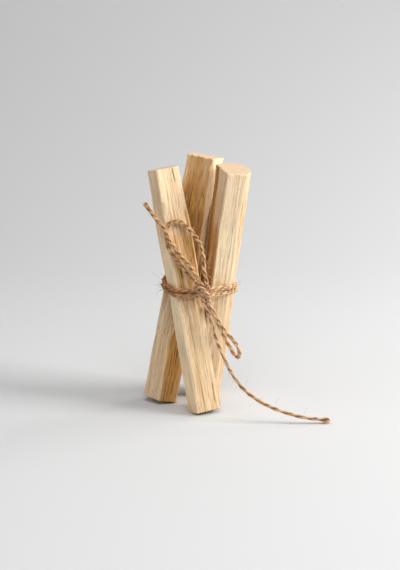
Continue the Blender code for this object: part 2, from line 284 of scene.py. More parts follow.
class PALO_PG_wood(bpy.types.PropertyGroup):
    """The sticks: how finely they are cut, how worn they are and their colours."""

    along_step: size_setting("Step along", "Distance between the rings of a stick's mesh", 0.0005)
    around_step: size_setting("Step around", "Distance between the points of a ring", 0.00022)
    arris_wear: size_setting("Arris wear", "How far the wear of an arris reaches onto its faces", 0.00042)
    relief: size_setting("Grain relief", "Height of the largest ridges of the split faces", 0.00018)
    cream: colour_setting("Cream", "The palest sapwood", (0.90, 0.72, 0.50))
    tan: colour_setting("Tan", "The darker bands of the sapwood", (0.68, 0.45, 0.22))
    # Also painted over places in shade, such as under the knot and in the shadow of the loop.
    heart_and_shade: colour_setting("Heartwood", "The golden brown heartwood", (0.64, 0.33, 0.083))
    streak: colour_setting("Streak", "The thin resin streaks", (0.46, 0.205, 0.05))
    # Also the painted shade in the cracks and between the sticks.
    dark_and_shade: colour_setting("Dark", "Pores, cracks and the deepest streaks", (0.17, 0.08, 0.03))
    # Painted light: the pale colour of patches that brighten faces.
    painted_light_tint: colour_setting("Pale", "The clean golden edge of the sapwood", (0.98, 0.80, 0.53))
    grey: colour_setting("Grey", "Weathered and handled places", (0.48, 0.345, 0.22))
    sawn: colour_setting("Sawn end", "The sawn heads and feet", (0.58, 0.44, 0.31))


class PALO_PG_twine(bpy.types.PropertyGroup):
    """The twine: its lay, its fibres and its colours."""

    plies: bpy.props.IntProperty(name="Plies", description="How many plies are laid up", default=2, min=2)
    lay_length: size_setting("Lay length", "Length of one full turn of a ply in the free cords", 0.0060)
    wrap_lay_length: size_setting("Lay length of the wrap", "The same in the turns and the knot", 0.0056)
    fibres: bpy.props.IntProperty(name="Fibres", description="Bundles of fibre in a ply", default=14, min=3)
    fibre_radius: size_setting("Fibre radius", "Radius of one bundle of fibre", 0.0001)
    hair_gap: size_setting("Hair gap", "Distance between loose hairs along the twine", 0.00045)
    hair_length: size_setting("Hair length", "Length of the longest loose hairs", 0.005)
    hair_radius: size_setting("Hair radius", "Radius of a loose hair at its root", 0.00005)
    stray_radius: size_setting("Stray radius", "Radius of the longest stray fibres", 0.00008)
    light: colour_setting("Light jute", "The palest fibres", (0.87, 0.54, 0.285))
    paler_jute: colour_setting("Faded jute", "The palest fibres of the waist and lower bow", (0.93, 0.65, 0.40))
    # Painted shade on the wrap's left side, which faces away from the key light.
    jute_painted_shade: colour_setting("Soiled jute", "The handled part of the waist", (0.38, 0.13, 0.03))
    # Also the painted shade in the hollows between the plies.
    dark_and_shade: colour_setting("Dark jute", "The darkest fibres and the hollows", (0.17, 0.062, 0.02))


class PALO_PG_studio(bpy.types.PropertyGroup):
    """The plain studio: its paper sweep and its soft lights."""

    paper: colour_setting("Paper", "Colour of the floor and backdrop", (0.60, 0.60, 0.60))
    key_power: power_setting("Key light", "Power of the soft light from the right", 7.7)
    side_power: power_setting("Side light", "Power of the soft light from the right and behind", 0.7)
    front_power: power_setting("Front light", "Power of the soft light from high in front", 1.6)
    top_power: power_setting("Top light", "Power of the soft light from above", 2.7)
    fill_power: power_setting("Fill light", "Power of the soft light from the left", 1.33)


# Values of node trees, on which plain arithmetic works.


def shown_sockets(sockets):
    """Return the sockets that show, by name; the first of each name counts."""
    return {socket.name: socket for socket in reversed(list(sockets)) if socket.enabled}


class Value:
    """An output of a node, which is added, multiplied and so on like a plain number or vector."""

    def __init__(self, socket):
        self.socket = socket
        self.tree = socket.id_data
        self.maths = "ShaderNodeVectorMath" if socket.type in {"VECTOR", "RGBA"} else "ShaderNodeMath"

    def __getitem__(self, name):
        """Return another output of the same node."""
        return Value(shown_sockets(self.socket.node.outputs)[name])

    def by(self, operation, *others):
        """Return what a Math or Vector Math node makes of this value and the others."""
        return add(self.tree, self.maths, dict(enumerate((self, *others))), operation=operation)

    def __add__(self, other):
        return self.by("ADD", other)

    def __sub__(self, other):
        return self.by("SUBTRACT", other)

    def __rsub__(self, other):
        return add(self.tree, self.maths, {0: other, 1: self}, operation="SUBTRACT")

    def __mul__(self, other):
        if self.maths == "ShaderNodeMath" or isinstance(other, tuple):
            return self.by("MULTIPLY", other)
        return add(self.tree, self.maths, {0: self, "Scale": other}, operation="SCALE")

    def __truediv__(self, other):
        return self.by("DIVIDE", other)

    def mix(self, first, second):
        """Mix two colours by this share."""
        return add(self.tree, "ShaderNodeMix", {"Factor": self, "A": first, "B": second}, data_type="RGBA")

    def ramp(self, low, high, kind="SMOOTHSTEP"):
        """Return 0 where this value is at low or under it, 1 at high or over it, and a ramp between."""
        return add(self.tree, "ShaderNodeMapRange", {"Value": self, "From Min": low, "From Max": high},
                   interpolation_type=kind)

    def noise(self, scale=1.0, detail=2.0, roughness=0.5, stretch=None):
        """Return noise at this place, which is first stretched by the given scale on each axis."""
        return add(self.tree, "ShaderNodeTexNoise", {
            "Vector": self * stretch if stretch else self,
            "Scale": scale, "Detail": detail, "Roughness": roughness,
        })

    def bump(self, strength, distance):
        """Return the bump of a surface that has this height."""
        return add(self.tree, "ShaderNodeBump", {"Strength": strength, "Distance": distance, "Height": self})

    def store(self, name, value, kind="FLOAT"):
        """Store a value under a name on the points of this geometry."""
        return add(self.tree, "GeometryNodeStoreNamedAttribute",
                   {"Geometry": self, "Name": name, "Value": value}, data_type=kind, domain="POINT")

    def moved(self, **by):
        """Move the points of this geometry by an Offset, or to a Position."""
        return add(self.tree, "GeometryNodeSetPosition", {"Geometry": self, **by})

    def tube(self, sides, thickness):
        """Return closed tubes along these curves."""
        circle = add(self.tree, "GeometryNodeCurvePrimitiveCircle", {"Resolution": sides, "Radius": 1.0})
        return add(self.tree, "GeometryNodeCurveToMesh",
                   {"Curve": self, "Profile Curve": circle, "Fill Caps": True, "Scale": thickness})

    def finished(self, material):
        """Realize the instances of this geometry and give it its material."""
        whole = add(self.tree, "GeometryNodeRealizeInstances", {"Geometry": self})
        return add(self.tree, "GeometryNodeSetMaterial", {"Geometry": whole, "Material": material})


def feed(node, inputs):
    """Set the inputs of a node, given by name or by number; a list goes into one socket in its order."""
    named = shown_sockets(node.inputs)
    for name, given in inputs.items():
        socket = node.inputs[name] if isinstance(name, int) else named[name]
        for value in given if isinstance(given, list) else [given]:
            if isinstance(value, Value):
                node.id_data.links.new(value.socket, socket)
            else:
                socket.default_value = value


def add(tree, kind, inputs=None, **settings):
    """Add a node, set it up, feed its inputs and return its first output."""
    node = tree.nodes.new(kind)
    for name, value in settings.items():
        setattr(node, name, value)
    feed(node, inputs or {})
    return Value(next(socket for socket in node.outputs if socket.enabled))


def combined(tree, *parts):
    """Return a vector made of up to three numbers."""
    return add(tree, "ShaderNodeCombineXYZ", dict(enumerate(parts)))


def read(tree, name, kind="FLOAT"):
    """Return the attribute that is stored under a name on a geometry."""
    return add(tree, "GeometryNodeInputNamedAttribute", {"Name": name}, data_type=kind)


def across(normal, tangent, angle):
    """Return the direction across a curve, turned by an angle from its normal."""
    return normal * angle.by("COSINE") + tangent.by("CROSS_PRODUCT", normal) * angle.by("SINE")


# Node groups. Each is made by a function that takes the named inputs and returns the named outputs.

# Noises of the wood: detail, roughness, and how often they change to the millimetre on each axis.
WOOD_NOISES = {
    "band": (3.0, 0.6, (0.50, 0.50, 0.018)),
    "crowd": (2.0, 0.5, (0.33, 0.33, 0.035)),
    "streak": (3.0, 0.65, (2.0, 2.0, 0.045)),
    "fibre": (2.0, 0.6, (3.3, 3.3, 0.075)),
    "pore": (2.0, 0.5, (3.4, 3.4, 0.22)),
    "waver": (3.0, 0.6, (0.75, 0.75, 0.028)),
    "patch": (3.0, 0.6, (0.33, 0.33, 0.07)),
    "speck": (2.0, 0.6, (1.4, 1.4, 0.5)),
}

# The make of the twine. Of its radius: a ply's radius, and how far the ply's middle lies from the route.
PLY_RADIUS = 0.60
PLY_REACH = 0.41
# Of a ply's radius: its core's radius, how far its bundles of fibre lie from its middle at least, and how
# much farther they wander. Of the lay length: the length of the bundles' own twist.
CORE_RADIUS = 0.80
BUNDLE_REACH = 0.68
BUNDLE_WANDER = 0.42
BUNDLE_TWIST = 1.15
CORE_SIDES, BUNDLE_SIDES, HAIR_SIDES = 8, 5, 3

# The loose hairs: how far they lean along the twine, the power that makes most of them short, the shortest
# as a share of the longest, their points, and in metres how far they curl and how high they keep.
HAIR_LEAN = 2.2
HAIR_POWER = 2.6
SHORTEST_HAIR = 0.1
HAIR_POINTS = 9
HAIR_CURL = 0.0032
HAIR_FLOOR = 0.0001


def wood_noises(place, *names):
    """Return noises of the wood at a place in millimetres."""
    return [place.noise(1.0, *WOOD_NOISES[name]) for name in names]


def split_grain(tree, ins):
    """The grain of split wood: broad bands, streaks, fine fibres, short pores and a height."""
    place = ins["Place"] * PER_METRE + ins["Start"]
    place += (place.noise(0.035)["Color"] - HALF) * (2.0, 2.0, 0.0)
    band, crowd, streak, fibre, pore = wood_noises(place, "band", "crowd", "streak", "fibre", "pore")
    streak += (crowd - 0.5) * 0.45
    streak_low = 0.62 - ins["Streak Share"] * 0.16
    pore_low = 0.70 - ins["Pore Share"] * 0.16
    pores = pore.ramp(pore_low, pore_low + 0.08)
    return {
        "Bands": band.ramp(0.36, 0.64), "Streaks": streak.ramp(streak_low, streak_low + 0.11),
        "Fibres": fibre.ramp(0.42, 0.60), "Pores": pores,
        "Height": fibre * 0.7 + streak * -0.4 - pores * 0.3,
    }


def heartwood_and_shade_mask(tree, ins):
    """The mask of the heartwood and of painted shade: a stain in the wood, broken up along the grain at its
    edges.
    """
    [waver] = wood_noises(ins["Place"] * PER_METRE, "waver")
    stain = ins["Stain"] + (waver - 0.5) * 1.7
    return {"Mask": stain.ramp(0.22, 0.78) * ins["Stain"].ramp(0.0, 0.15)}


def handled_grey(tree, ins):
    """The grey of handling and weather: soft patches drawn out along the grain."""
    patch, speck = wood_noises(ins["Place"] * PER_METRE, "patch", "speck")
    low = 0.75 - ins["Share"] * 0.4
    return {"Mask": patch.ramp(low, low + 0.2) * speck.ramp(0.3, 0.6)}


def laid_twine(tree, ins):
    """Plies laid along a route, each of many twisted bundles of fibre."""
    seed, radius, lay_length = ins["Seed"], ins["Twine Radius"], ins["Lay Length"]
    position = add(tree, "GeometryNodeInputPosition")
    route = add(tree, "GeometryNodeResampleCurve", {"Curve": ins["Route"], "Length": ins["Step"]},
                mode="LENGTH")
    route = route.store("strand_along", add(tree, "GeometryNodeSplineParameter")["Length"])
    route = route.store("swell", add(tree, "GeometryNodeInputRadius"))
    route = route.store("strand_middle", position, "FLOAT_VECTOR")
    along, swell = read(tree, "strand_along"), read(tree, "swell")

    def copies(geometry, amount):
        """Return copies of curves."""
        return add(tree, "GeometryNodeDuplicateElements", {"Geometry": geometry, "Amount": amount},
                   domain="SPLINE")

    def spiral(geometry, turns, reach):
        """Move the points of curves off their line, by turns around it and a reach from it."""
        normal, tangent = add(tree, "GeometryNodeInputNormal"), add(tree, "GeometryNodeInputTangent")
        return geometry.moved(Offset=across(normal, tangent, turns * math.tau) * (reach * swell))

    def wavering(y, z, scale):
        """Return noise between 0 and 1 that changes along the route."""
        return combined(tree, along * PER_METRE, y, z).noise(scale, 1.0)

    # The plies turn left-handed around the route.
    plies = copies(route, ins["Plies"])
    ply = plies["Duplicate Index"]
    uneven = wavering(seed * 3.7, 0.0, 0.16)
    turns = ply / ins["Plies"] - (along / lay_length + uneven * 0.7)
    ply_radius = radius * PLY_RADIUS
    plies = spiral(plies, turns, radius * PLY_REACH)

    # Each ply has a dark core and bundles of fibre that turn the other way.
    core = plies.tube(CORE_SIDES, ply_radius * CORE_RADIUS * swell)
    bundles = copies(plies, ins["Fibres"])
    bundle = bundles["Duplicate Index"]
    number = bundle + ply * 41.0 + seed * 101.0
    chance = add(tree, "FunctionNodeRandomValue", {"Min": 0.0, "Max": 1.0, "ID": number, "Seed": 7},
                 data_type="FLOAT")
    depth = wavering(number * 5.3, 2.0, 0.42)
    drift = wavering(number * 5.3, 9.0, 0.22)
    turns = along / (lay_length * BUNDLE_TWIST) + (bundle + chance) / ins["Fibres"] + drift * 0.35
    bundles = spiral(bundles, turns, ply_radius * (depth * BUNDLE_WANDER + BUNDLE_REACH))
    bundles = bundles.store("fibre_tone", chance + ins["Tone"])
    # Painted shade: how near a fibre lies to the middle of the twine, so the hollows between the plies are
    # painted darker.
    far = position.by("DISTANCE", read(tree, "strand_middle", "FLOAT_VECTOR")) / (radius * swell)
    bundles = bundles.store("fibre_depth", far.ramp(0.42, 0.98, "LINEAR"))
    thick = ins["Fibre Radius"] * (chance * 0.6 + 0.75) * (depth * 0.6 + 0.7)
    fibres = bundles.tube(BUNDLE_SIDES, thick * swell.by("SQRT"))
    both = add(tree, "GeometryNodeJoinGeometry", {"Geometry": [core, fibres]})
    return {"Twine": add(tree, "GeometryNodeSetShadeSmooth", {"Geometry": both}).finished(ins["Material"])}


def loose_hairs(tree, ins):
    """Loose, curling hairs of jute that grow out of a route."""

    def chance(low, high, salt):
        """Return a random number for each point."""
        return add(tree, "FunctionNodeRandomValue", {"Min": low, "Max": high, "Seed": ins["Seed"] + salt},
                   data_type="FLOAT")

    points = add(tree, "GeometryNodeCurveToPoints", {"Curve": ins["Route"], "Length": ins["Gap"]},
                 mode="LENGTH")
    away = across(points["Normal"], points["Tangent"], chance(0.0, math.tau, 1.0))
    lean = points["Tangent"] * chance(-HAIR_LEAN, HAIR_LEAN, 2.0)
    hair = add(tree, "GeometryNodeCurvePrimitiveLine", {"Start": (0.0, 0.0, 0.0), "End": (0.0, 0.0, 1.0)})
    share = chance(0.0, 1.0, 3.0).by("POWER", HAIR_POWER) * (1.0 - SHORTEST_HAIR) + SHORTEST_HAIR
    long = share * ins["Longest"]
    hairs = add(tree, "GeometryNodeInstanceOnPoints", {
        "Points": points.moved(Offset=away * ins["Start Reach"]),
        "Instance": add(tree, "GeometryNodeResampleCurve", {"Curve": hair, "Count": HAIR_POINTS}),
        "Rotation": add(tree, "FunctionNodeAlignRotationToVector", {"Vector": away + lean}, axis="Z"),
        "Scale": combined(tree, long, long, long),
    })
    hairs = add(tree, "GeometryNodeRealizeInstances", {"Geometry": hairs})
    share = add(tree, "GeometryNodeSplineParameter")
    place = add(tree, "GeometryNodeInputPosition")
    hairs = hairs.moved(Offset=(place.noise(330.0, 1.0)["Color"] - HALF) * (share * HAIR_CURL))
    parts = add(tree, "ShaderNodeSeparateXYZ", {"Vector": place})
    lifted = combined(tree, parts["X"], parts["Y"], parts["Z"].by("MAXIMUM", HAIR_FLOOR))
    hairs = hairs.moved(Position=lifted).store("fibre_tone", 0.8).store("fibre_depth", 1.0)
    hairs = hairs.tube(HAIR_SIDES, ins["Hair Radius"] * (1.0 - share * 0.6))
    return {"Hairs": hairs.finished(ins["Material"])}


# What makes each group, and its inputs: their defaults, or their kinds where they have none.
GROUPS = {
    "split grain": (split_grain, {
        "Place": "Vector", "Start": "Vector", "Streak Share": 0.5, "Pore Share": 0.5,
    }),
    "heartwood stain": (heartwood_and_shade_mask, {"Place": "Vector", "Stain": 0.0}),
    "handled grey": (handled_grey, {"Place": "Vector", "Share": 0.3}),
    "laid twine": (laid_twine, {
        "Route": "Geometry", "Twine Radius": 0.00085, "Plies": 2, "Lay Length": 0.0056, "Fibres": 13,
        "Fibre Radius": 0.0001, "Step": 0.00032, "Tone": 0.0, "Seed": 1, "Material": "Material",
    }),
    "loose hairs": (loose_hairs, {
        "Route": "Geometry", "Gap": 0.0006, "Start Reach": 0.0006, "Longest": 0.005, "Hair Radius": 0.00002,
        "Seed": 1, "Material": "Material",
    }),
}


def group(name):
    """Return a node group, which is made the first time."""
    if name in bpy.data.node_groups:
        return bpy.data.node_groups[name]
    build, inputs = GROUPS[name]
    tree = bpy.data.node_groups.new(name, "GeometryNodeTree" if "Route" in inputs else "ShaderNodeTree")
    for label, given in inputs.items():
        kind = given if isinstance(given, str) else {int: "Int", float: "Float"}[type(given)]
        socket = tree.interface.new_socket(name=label, in_out="INPUT", socket_type="NodeSocket" + kind)
        if given != kind:
            socket.default_value = given
    ins = tree.nodes.new("NodeGroupInput")
    outputs = build(tree, {label: Value(ins.outputs[label]) for label in inputs})
    for label, value in outputs.items():
        kind = "Geometry" if value.socket.type == "GEOMETRY" else "Float"
        tree.interface.new_socket(name=label, in_out="OUTPUT", socket_type="NodeSocket" + kind)
    feed(tree.nodes.new("NodeGroupOutput"), outputs)
    return tree


# Materials.


def new_material(name):
    """Make an empty material and return it with its tree and its Principled shader."""
    material = bpy.data.materials.new(name)
    material.use_nodes = True
    return material, material.node_tree, material.node_tree.nodes["Principled BSDF"]


def colours(settings, *names):
    """Return colours of the settings with full strength."""
    return [(*getattr(settings, name), 1.0) for name in names]


def attributes(tree, *names):
    """Return numbers that are stored in the mesh."""
    return [add(tree, "ShaderNodeAttribute", attribute_name=name)["Fac"] for name in names]


# How each stick's wood differs: where its pattern starts and where the pith of its tree lay, in
# millimetres, how many streaks and pores it has, how grey and how tan it is, and how tan its foot is.
WOODS = {
    "stick_front": {
        "start": (3.0, 11.0, 5.0), "pith": (-9.0, -7.0, 0.0),
        "streaks": 0.5, "pores": 0.5, "grey": 0.25, "tan": 0.5, "foot_tan": 0.3,
    },
    "stick_back": {
        "start": (47.0, 2.0, 31.0), "pith": (-6.0, -12.0, 0.0),
        "streaks": 0.6, "pores": 0.6, "grey": 0.35, "tan": 0.65, "foot_tan": 0.1,
    },
    "stick_right": {
        "start": (21.0, 37.0, 62.0), "pith": (-8.0, -9.0, 0.0),
        "streaks": 0.4, "pores": 0.4, "grey": 0.15, "tan": 0.35, "foot_tan": 0.15,
    },
}


# Places on the wood and the jute, in metres. The tan of a foot fades over these heights. The jute gets
# painted shade to the left of one place and under another, where the wrap faces away from the key light, and
# is paler under a third, each with a soft edge.
FOOT_TAN_FADE, FOOT_TAN_FULL = 0.062, 0.012
PAINTED_SHADE_LEFT = (0.001, -0.007)
PAINTED_SHADE_UNDER = (0.057, 0.054)
PALER_UNDER = (0.056, 0.048)


def wood_material(name, wood, settings):
    """Make the wood of one stick, whose grain follows the stick through the place stored in its mesh."""
    material, tree, shader = new_material(name)
    place = add(tree, "ShaderNodeAttribute", attribute_name="grain_place")["Vector"]
    hollow, sawn, stain, edge, weather, clean = attributes(
        tree, "hollow", "sawn", "stain", "edge", "weather", "clean")

    def shared(group_name, **inputs):
        """Place a shared effect in the tree."""
        named = {label.replace("_", " "): value for label, value in inputs.items()}
        return add(tree, "ShaderNodeGroup", {"Place": place, **named}, node_tree=group(group_name))

    grain = shared("split grain", Start=wood["start"], Streak_Share=wood["streaks"], Pore_Share=wood["pores"])
    heart_and_shade = shared("heartwood stain", Stain=stain)
    smudge = shared("handled grey", Share=wood["grey"])
    bands, streaks, fibres, pores = (grain[label] for label in ("Bands", "Streaks", "Fibres", "Pores"))
    cream, tan, golden, streak, dark_and_shade, painted_light_tint, grey, end = colours(
        settings, "cream", "tan", "heart_and_shade", "streak", "dark_and_shade", "painted_light_tint", "grey", "sawn")

    # The split faces: sapwood, heartwood, streaks, pores, weathered places and cracks, with painted light
    # and shade: pale patches, stains that paint shade, shade in the cracks and a highlight along the arrises.
    up = add(tree, "ShaderNodeSeparateXYZ", {"Vector": place})["Z"]
    low_end = up.ramp(FOOT_TAN_FADE, FOOT_TAN_FULL) * wood["foot_tan"]
    colour = (bands * wood["tan"] + low_end).mix(cream, tan)
    # Painted light: pale patches brighten faces, and carry fewer streaks.
    colour = clean.mix(colour, painted_light_tint)
    colour = heart_and_shade.mix(colour, ((1.0 - bands) * 0.45).mix(golden, tan))
    streaks_kept = 1.0 - clean * 0.6
    colour = (fibres * ((low_end * 0.4 + heart_and_shade * 0.2 + 0.26) * streaks_kept)).mix(colour, streak)
    colour = (streaks * ((heart_and_shade * 0.25 + 0.50) * streaks_kept)).mix(colour, streak)
    colour = (heart_and_shade * streaks * 0.8 + pores * 0.5).mix(colour, dark_and_shade)
    # Painted shade: stains of strength about 1 and over are darkened further.
    colour = (stain.ramp(0.95, 1.25) * 0.45).mix(colour, dark_and_shade)
    colour = (smudge * 0.45).by("MAXIMUM", weather * (0.9 - fibres * 0.6)).mix(colour, grey)
    # A painted highlight along the arrises.
    colour = (edge * 0.3).mix(colour, cream)
    # Painted shade in the cracks, darker the deeper they are.
    colour = (hollow * 0.8).mix(colour, dark_and_shade)

    # The sawn ends: growth lines around the pith, and vessels.
    section = place * PER_METRE * (1.0, 1.0, 0.15)
    vessels = section.noise(3.1, 3.0, 0.6).ramp(0.52, 0.70)
    from_pith = ((section - wood["pith"]) * (1.0, 1.0, 0.0)).by("LENGTH")
    growth = combined(tree, from_pith).noise(1.1, 2.0, 0.6)
    end = (growth.ramp(0.42, 0.62) * 0.6).mix(end, tan)
    end = (vessels * 0.4).mix(end, streak)
    feed(shader, {
        "Base Color": (sawn * 0.85).mix(colour, end), "Roughness": streaks * 0.12 + 0.60 + smudge * 0.12,
        "Normal": grain["Height"].bump(strength=0.8, distance=0.00016), "Specular IOR Level": 0.1,
    })
    return material


def jute():
    """Return the jute, made the first time: bundles have their own tones, and painted shade darkens the
    hollows between the plies and the wrap's left side.
    """
    if "laid_jute" in bpy.data.materials:
        return bpy.data.materials["laid_jute"]
    material, tree, shader = new_material("laid_jute")
    tone, depth, along = attributes(tree, "fibre_tone", "fibre_depth", "strand_along")
    place = add(tree, "ShaderNodeTexCoord")["Object"]
    light, paler_jute, dark_and_shade, jute_painted_shade = colours(bpy.context.scene.palo_twine, "light", "paler_jute", "dark_and_shade", "jute_painted_shade")
    length = combined(tree, along * PER_METRE, tone * 97.0)
    fleck = length.noise(0.4, 3.0, 0.6)
    broad = place.noise(420.0, 3.0, 0.55)
    parts = add(tree, "ShaderNodeSeparateXYZ", {"Vector": place})
    # Painted shade on the wrap's left side.
    painted_shade_share = parts["X"].ramp(*PAINTED_SHADE_LEFT) * parts["Z"].ramp(*PAINTED_SHADE_UNDER)
    # Fibres in the hollows between the plies are darker, as painted shade.
    share = tone * 0.25 + fleck * 0.42 + depth * 0.50 + (broad - 0.5) * 0.7 + painted_shade_share * 0.04
    # Paler low down.
    light = (parts["Z"].ramp(*PALER_UNDER) * 0.7).mix(light, paler_jute)
    colour = share.ramp(0.20, 0.90, "LINEAR").mix(dark_and_shade, light)
    feed(shader, {
        "Base Color": (painted_shade_share * 0.62).mix(colour, jute_painted_shade), "Roughness": 0.95 - fleck * 0.25,
        "Normal": length.noise(2.6, 2.0, 0.6).bump(strength=0.5, distance=0.00004),
        "Specular IOR Level": 0.1, "Sheen Weight": 0.05, "Sheen Roughness": 0.5,
    })
    return material


def paper_material(settings):
    """Make the matt paper of the sweep, with a faint tooth."""
    material, tree, shader = new_material("studio_paper")
    place = add(tree, "ShaderNodeTexCoord")["Object"]
    [paper] = colours(settings, "paper")
    shade = (*(part * 0.985 for part in settings.paper), 1.0)
    feed(shader, {
        "Base Color": place.noise(3.0).mix(paper, shade), "Roughness": 0.85, "Specular IOR Level": 0.2,
        "Normal": place.noise(900.0).bump(strength=0.05, distance=0.0001),
    })
    return material


# Wood.

# How an arris wavers: by how many millimetres, over what length, and the step of its seed.
ARRIS_WAVERS = ((0.16, 9.0, 0), (0.05, 2.1, 5))
# The sizes of the waves, ridges, grooves and fine fibres of a split face, in millimetres on each axis.
RELIEF_SIZES = ((5.5, 5.5, 34.0), (1.5, 1.5, 26.0), (0.62, 0.62, 15.0), (0.36, 0.36, 5.0))
# How far the rings that close a sawn end lie from its middle, as shares of its rim.
END_RINGS = (0.975, 0.94, 0.88, 0.80, 0.70, 0.58, 0.45, 0.32, 0.20, 0.10)
# The roughness of a sawn end and the tears along its rim: by how much, the size of the cells, and the step
# of the seed.
SAWN_ROUGHNESS = ((0.07, (0.45, 0.45, 9.0), 21), (0.05, (3.0, 0.5, 9.0), 22))
RIM_TEARS = ((0.10, 0.7, 5), (0.06, 0.3, 6))
# How many points the rounding of an arris has.
CORNER_POINTS = 4
# Over how many millimetres a chip ends, a crack opens and closes, a patch of colour fades along the stick,
# and the tears of the head and of the foot reach. A crack is painted fully dark, as shade, from DARK_DEPTH
# on.
CHIP_END = 1.4
CRACK_OPENING = 2.5
CRACK_CLOSING = 4.0
PATCH_FADE = 7.0
HEAD_TEAR = 1.2
FOOT_TEAR = 0.8
DARK_DEPTH = 0.3
# Between these shares of a stick's length its swelling sides swell.
SWELLING = (0.62, 0.85)


def lattice_noise(places, seed):
    """Return smooth noise between -1 and 1 for an array of places, with one cell to the unit."""
    cells = np.floor(places).astype(np.int64)
    parts = places - cells
    parts = parts * parts * (3.0 - 2.0 * parts)
    total = np.zeros(places.shape[:-1])
    for corner in itertools.product((0, 1), repeat=3):
        keys = ((cells + corner) * (73856093, 19349663, 83492791)).sum(axis=-1) + seed * 7919
        for shift, factor in ((13, 1274126177), (15, 668265263)):
            keys = (keys ^ (keys >> shift)) * factor & 0xFFFFFFFF
        value = (keys >> 8 & 0xFFFF) / 32767.5 - 1.0
        total += value * np.where(corner, parts, 1.0 - parts).prod(axis=-1)
    return total


def wander(places, seed, scale):
    """Return smooth noise that changes along one line of numbers."""
    line = np.asarray(places, float) / scale
    return lattice_noise(np.stack([line, line * 0.0 + 0.5, line * 0.0 + 0.5], axis=-1), seed)


def smooth_step(value, low, high):
    """Return 0 where a value is at low or under it, 1 at high or over it, and a soft ramp between."""
    share = np.clip((value - low) / (high - low), 0.0, 1.0)
    return share * share * (3.0 - 2.0 * share)


def window(value, start, full, fading, end):
    """Return 1 where a value lies between full and fading, and 0 before start and after end."""
    return smooth_step(value, start, full) * (1.0 - smooth_step(value, fading, end))


def stick_frame(stick):
    """Return the placing of a stick: X to the right, Y deep, Z from its foot to its head, in mm."""
    foot = Vector(stick["foot"])
    along = (Vector(stick["head"]) - foot).normalized()
    right = Vector((0.0, 1.0, 0.0)).cross(along).normalized()
    rotation = Matrix((right, along.cross(right), along)).transposed()
    return Matrix.Translation(foot) @ rotation.to_4x4()


def stick_length(stick):
    """Return the distance from the middle of a stick's foot to the middle of its head."""
    return (Vector(stick["head"]) - Vector(stick["foot"])).length


def ring_heights(length, step, wear):
    """Return the heights of the rings: even ones, and close ones where the ends are worn round."""
    close = wear * (1.0 - np.cos(np.linspace(0.0, math.pi / 2, 5)))
    inner = np.linspace(wear * 1.3, length - wear * 1.3, max(8, round(length / step)))
    return np.concatenate([close, inner, length - close[::-1]])


def rough_arrises(stick, heights, length, seed):
    """Return the arrises at each height, slightly wavering, as an array (ring, arris, 2)."""
    sections = np.array(stick["sections"], float)
    arrises = np.empty((len(heights), sections.shape[1], 2))
    for arris, axis in itertools.product(range(sections.shape[1]), range(2)):
        line = np.interp(heights / length, SECTION_PLACES, sections[:, arris, axis])
        for amount, scale, step in ARRIS_WAVERS:
            line += amount * wander(heights, seed + 10 * arris + axis + step, scale)
        arrises[:, arris, axis] = line
    return arrises


def arris_widths(marks, heights, count, wear, seed):
    """Return how far each arris is worn onto its two faces at each height, with its chips."""
    widths = np.empty((len(heights), count))
    for arris in range(count):
        widths[:, arris] = wear * (1.0 + 0.35 * wander(heights, seed + 77 + arris, 3.0))
    for arris, start, end, width in marks["chips"]:
        torn = window(heights, start, start + 0.5 * (end - start), end - CHIP_END, end)
        torn = torn * (1.0 + 0.25 * wander(heights, seed + arris, 0.9))
        widths[:, arris] = np.maximum(widths[:, arris], width * torn)
    return widths


def outline_rings(arrises, widths, step):
    """Return the rings' points, their outward directions, the side of each and its share across."""
    count = widths.shape[1]
    following = np.roll(arrises, -1, axis=1)
    along = following - arrises
    lengths = np.linalg.norm(along, axis=2, keepdims=True)
    along = along / lengths
    outward = np.stack([along[..., 1], -along[..., 0]], axis=-1)
    points, outs, sides, shares = [], [], [], []
    for side in range(count):
        after = (side + 1) % count
        start = arrises[:, side] + along[:, side] * widths[:, side, None]
        end = following[:, side] - along[:, side] * widths[:, after, None]
        number = max(4, round(float(lengths[:, side].mean()) / step))
        for share in (piece / number for piece in range(number)):
            points.append(start + (end - start) * share)
            outs.append(outward[:, side])
            sides.append(side)
            shares.append(share)
        corner = following[:, side]
        turn_to = corner + along[:, after] * widths[:, after, None]
        torn = np.clip(widths[:, after, None] / 0.6 - 0.8, 0.0, 0.95)
        corner = corner + ((end + turn_to) / 2 - corner) * torn
        for share in (piece / CORNER_POINTS for piece in range(CORNER_POINTS)):
            points.append(end * (1 - share) ** 2 + corner * 2 * share * (1 - share) + turn_to * share ** 2)
            facing = outward[:, side] * (1 - share) + outward[:, after] * share
            outs.append(facing / np.linalg.norm(facing, axis=1, keepdims=True))
            sides.append(side if share < 0.5 else after)
            shares.append(1.0 if share < 0.5 else 0.0)
    return np.stack(points, axis=1), np.stack(outs, axis=1), np.array(sides), np.array(shares)


def split_relief(places, relief, seed):
    """Return the height of a split face: waves, ridges along the grain, grooves and fine fibres."""
    waves, ridges, grooves, fibres = (
        lattice_noise(places / size, seed + number) for number, size in enumerate(RELIEF_SIZES)
    )
    return relief * (1.1 * waves + 0.5 * (1.0 - 2.0 * np.abs(ridges)) + 0.45 * grooves + 0.22 * fibres)


